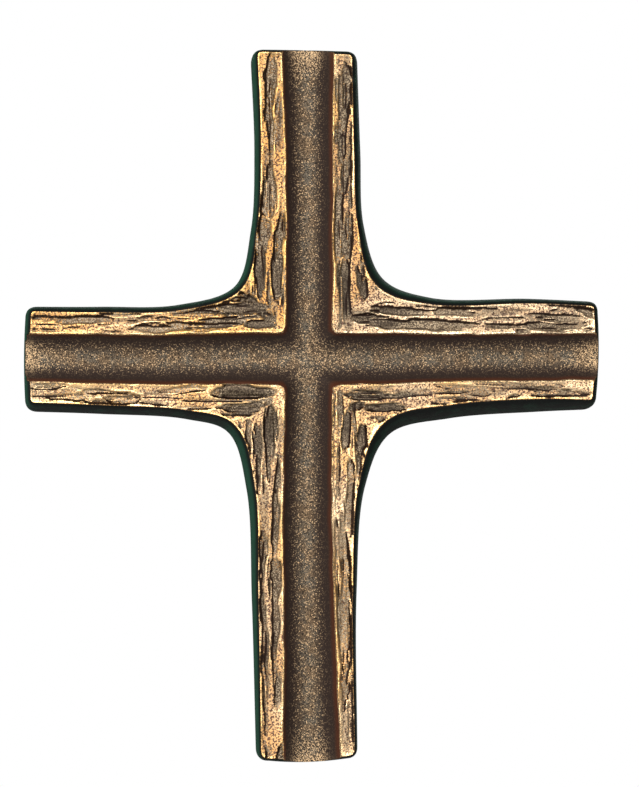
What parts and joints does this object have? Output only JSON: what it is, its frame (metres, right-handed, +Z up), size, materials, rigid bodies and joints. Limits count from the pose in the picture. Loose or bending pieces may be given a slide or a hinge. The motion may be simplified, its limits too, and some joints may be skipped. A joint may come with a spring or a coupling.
{
  "type": "wall cross",
  "caption": "Small cast bronze Latin cross for a wall, with a rounded channel along both beams, bark-like gouged bands beside it and a flat back with a hanging hole.",
  "frame": {"origin": "on the flat back, behind the middle of the crossing, where the cross lies against the wall", "axes": "+Z up along the upright, +X to the viewer's right, the carved face towards -Y and +Y into the wall"},
  "size_m": [0.0996, 0.0085, 0.1231],
  "materials": {
    "bronze": "cast bronze with a dark brown patina, rubbed bright on the raised bands and dark green-black on the sides"
  },
  "bodies": {
    "root": {"bronze_cross": "bronze"}
  },
  "joints": []
}
